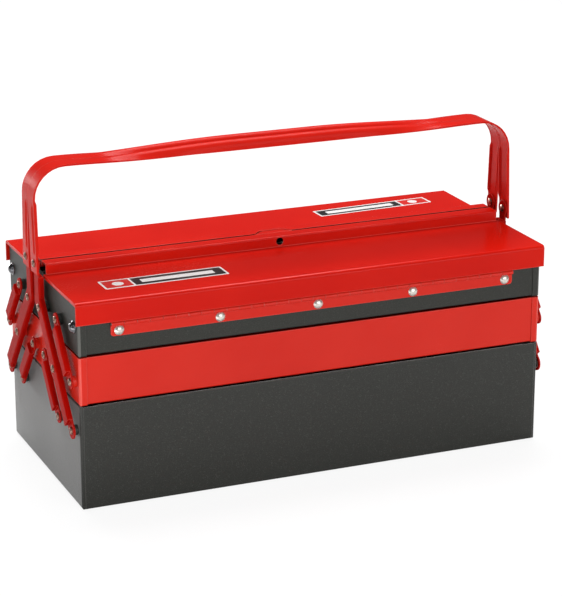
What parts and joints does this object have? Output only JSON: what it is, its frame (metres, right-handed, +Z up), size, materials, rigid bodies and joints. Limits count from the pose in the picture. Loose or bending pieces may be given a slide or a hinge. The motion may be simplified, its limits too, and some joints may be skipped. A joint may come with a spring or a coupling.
{
  "type": "cantilever tool box",
  "caption": "Steel cantilever tool box: a deep lower box, swing-out trays in two storeys on pivoting arms, hinged lids with a padlock ridge and paired carrying handles.",
  "frame": {"origin": "middle of the underside, on the surface that the box stands on", "axes": "+X along the box's length, -Y towards the side whose piano hinge the picture shows, +Z up"},
  "size_m": [0.4944, 0.2226, 0.31],
  "materials": {
    "red_paint": "glossy stoved enamel on steel sheet",
    "grey_paint": "dark grey fine-textured powder coat on steel sheet",
    "plated_steel": "bright zinc-plated steel rivets, pins and studs"
  },
  "bodies": {
    "lower_box": {"lower_box_shell": "grey_paint", "lower_box_left_end": "grey_paint", "lower_box_right_end": "grey_paint", "lower_box_rivets": "plated_steel", "lower_box_spacers": "plated_steel"},
    "front_arms": {"front_handle": "red_paint", "front_left_long_arm": "red_paint", "front_right_long_arm": "red_paint", "front_handle_rivets": "plated_steel"},
    "front_middle_tray": {"front_middle_shell": "red_paint", "front_middle_left_end": "red_paint", "front_middle_right_end": "red_paint", "front_middle_rivets": "plated_steel", "front_middle_spacers": "plated_steel"},
    "front_top_tray": {"front_top_shell": "grey_paint", "front_top_left_end": "grey_paint", "front_top_right_end": "grey_paint", "front_top_rivets": "plated_steel", "front_top_spacers": "plated_steel", "front_end_studs": "plated_steel", "front_tray_leaf": "red_paint", "front_hinge_pin": "plated_steel", "front_hinge_rivets": "plated_steel"},
    "front_lid_panel": {"front_lid": "red_paint", "front_lid_tongue": "red_paint", "front_lid_leaf": "red_paint"},
    "front_lower_links": {"front_left_lower_link": "red_paint", "front_right_lower_link": "red_paint"},
    "front_upper_links": {"front_left_upper_link": "red_paint", "front_right_upper_link": "red_paint"},
    "rear_arms": {"rear_handle": "red_paint", "rear_left_long_arm": "red_paint", "rear_right_long_arm": "red_paint", "rear_handle_rivets": "plated_steel"},
    "rear_middle_tray": {"rear_middle_shell": "red_paint", "rear_middle_left_end": "red_paint", "rear_middle_right_end": "red_paint", "rear_middle_rivets": "plated_steel", "rear_middle_spacers": "plated_steel"},
    "rear_top_tray": {"rear_top_shell": "grey_paint", "rear_top_left_end": "grey_paint", "rear_top_right_end": "grey_paint", "rear_top_rivets": "plated_steel", "rear_top_spacers": "plated_steel", "rear_end_studs": "plated_steel", "rear_tray_leaf": "red_paint", "rear_hinge_pin": "plated_steel", "rear_hinge_rivets": "plated_steel"},
    "rear_lid_panel": {"rear_lid": "red_paint", "rear_lid_leaf": "red_paint"},
    "rear_lower_links": {"rear_left_lower_link": "red_paint", "rear_right_lower_link": "red_paint"},
    "rear_upper_links": {"rear_left_upper_link": "red_paint", "rear_right_upper_link": "red_paint"}
  },
  "joints": [
    {"name": "front_swing", "type": "hinge", "parent": "lower_box", "child": "front_arms", "pos_m": [0, -0.0975, 0.076], "axis": [1, 0, 0], "range_deg": [0, 80.68]},
    {"name": "front_middle_level", "type": "hinge", "parent": "front_arms", "child": "front_middle_tray", "pos_m": [0, -0.0575, 0.1231], "axis": [1, 0, 0], "range_deg": [-81, 0]},
    {"name": "front_top_level", "type": "hinge", "parent": "front_arms", "child": "front_top_tray", "pos_m": [0, -0.0175, 0.1702], "axis": [1, 0, 0], "range_deg": [-81, 0]},
    {"name": "front_lower_link_swing", "type": "hinge", "parent": "lower_box", "child": "front_lower_links", "pos_m": [0, -0.0575, 0.076], "axis": [1, 0, 0], "range_deg": [0, 81]},
    {"name": "front_upper_link_swing", "type": "hinge", "parent": "front_middle_tray", "child": "front_upper_links", "pos_m": [0, -0.0975, 0.1231], "axis": [1, 0, 0], "range_deg": [0, 81]},
    {"name": "front_lid_hinge", "type": "hinge", "parent": "front_top_tray", "child": "front_lid_panel", "pos_m": [0, -0.1093, 0.177], "axis": [1, 0, 0], "range_deg": [0, 93]},
    {"name": "rear_swing", "type": "hinge", "parent": "lower_box", "child": "rear_arms", "pos_m": [0, 0.0975, 0.076], "axis": [-1, 0, 0], "range_deg": [0, 80.68]},
    {"name": "rear_middle_level", "type": "hinge", "parent": "rear_arms", "child": "rear_middle_tray", "pos_m": [0, 0.0575, 0.1231], "axis": [-1, 0, 0], "range_deg": [-81, 0]},
    {"name": "rear_top_level", "type": "hinge", "parent": "rear_arms", "child": "rear_top_tray", "pos_m": [0, 0.0175, 0.1702], "axis": [-1, 0, 0], "range_deg": [-81, 0]},
    {"name": "rear_lower_link_swing", "type": "hinge", "parent": "lower_box", "child": "rear_lower_links", "pos_m": [0, 0.0575, 0.076], "axis": [-1, 0, 0], "range_deg": [0, 81]},
    {"name": "rear_upper_link_swing", "type": "hinge", "parent": "rear_middle_tray", "child": "rear_upper_links", "pos_m": [0, 0.0975, 0.1231], "axis": [-1, 0, 0], "range_deg": [0, 81]},
    {"name": "rear_lid_hinge", "type": "hinge", "parent": "rear_top_tray", "child": "rear_lid_panel", "pos_m": [0, 0.1093, 0.177], "axis": [-1, 0, 0], "range_deg": [0, 93]}
  ],
  "couplings": [
    {"joint": "front_middle_level", "follows": "front_swing", "ratio": -1},
    {"joint": "front_top_level", "follows": "front_swing", "ratio": -1},
    {"joint": "front_lower_link_swing", "follows": "front_swing", "ratio": 1},
    {"joint": "front_upper_link_swing", "follows": "front_swing", "ratio": 1},
    {"joint": "rear_middle_level", "follows": "rear_swing", "ratio": -1},
    {"joint": "rear_top_level", "follows": "rear_swing", "ratio": -1},
    {"joint": "rear_lower_link_swing", "follows": "rear_swing", "ratio": 1},
    {"joint": "rear_upper_link_swing", "follows": "rear_swing", "ratio": 1}
  ]
}
